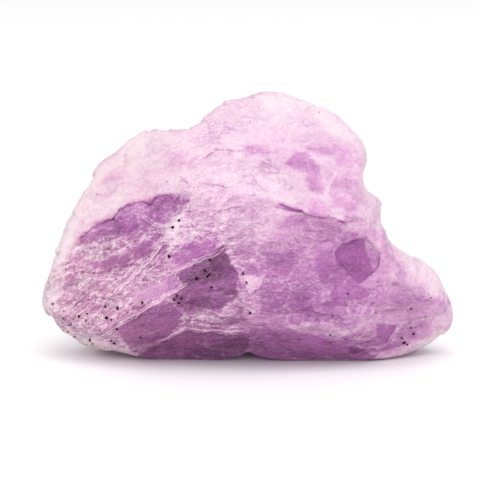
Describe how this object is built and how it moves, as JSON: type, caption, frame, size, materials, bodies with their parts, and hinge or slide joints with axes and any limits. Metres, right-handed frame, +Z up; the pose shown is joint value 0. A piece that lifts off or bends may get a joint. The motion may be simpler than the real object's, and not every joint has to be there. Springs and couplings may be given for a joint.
{
  "type": "rough kunzite crystal",
  "caption": "Rough translucent lilac kunzite crystal: a domed, broken lump with flat fracture faces, a low nose at one end and a flat base.",
  "frame": {"origin": "centre of the bounding box's underside, on the plane that the stone rests on", "axes": "+X to the right along the stone's length, towards its low nose; +Y from the broad front face to the back; +Z up"},
  "size_m": [0.0598, 0.0274, 0.0377],
  "materials": {
    "kunzite": "translucent lilac crystal, rough fracture faces with glassy cleavage windows"
  },
  "bodies": {
    "root": {"kunzite_crystal": "kunzite"}
  },
  "joints": []
}
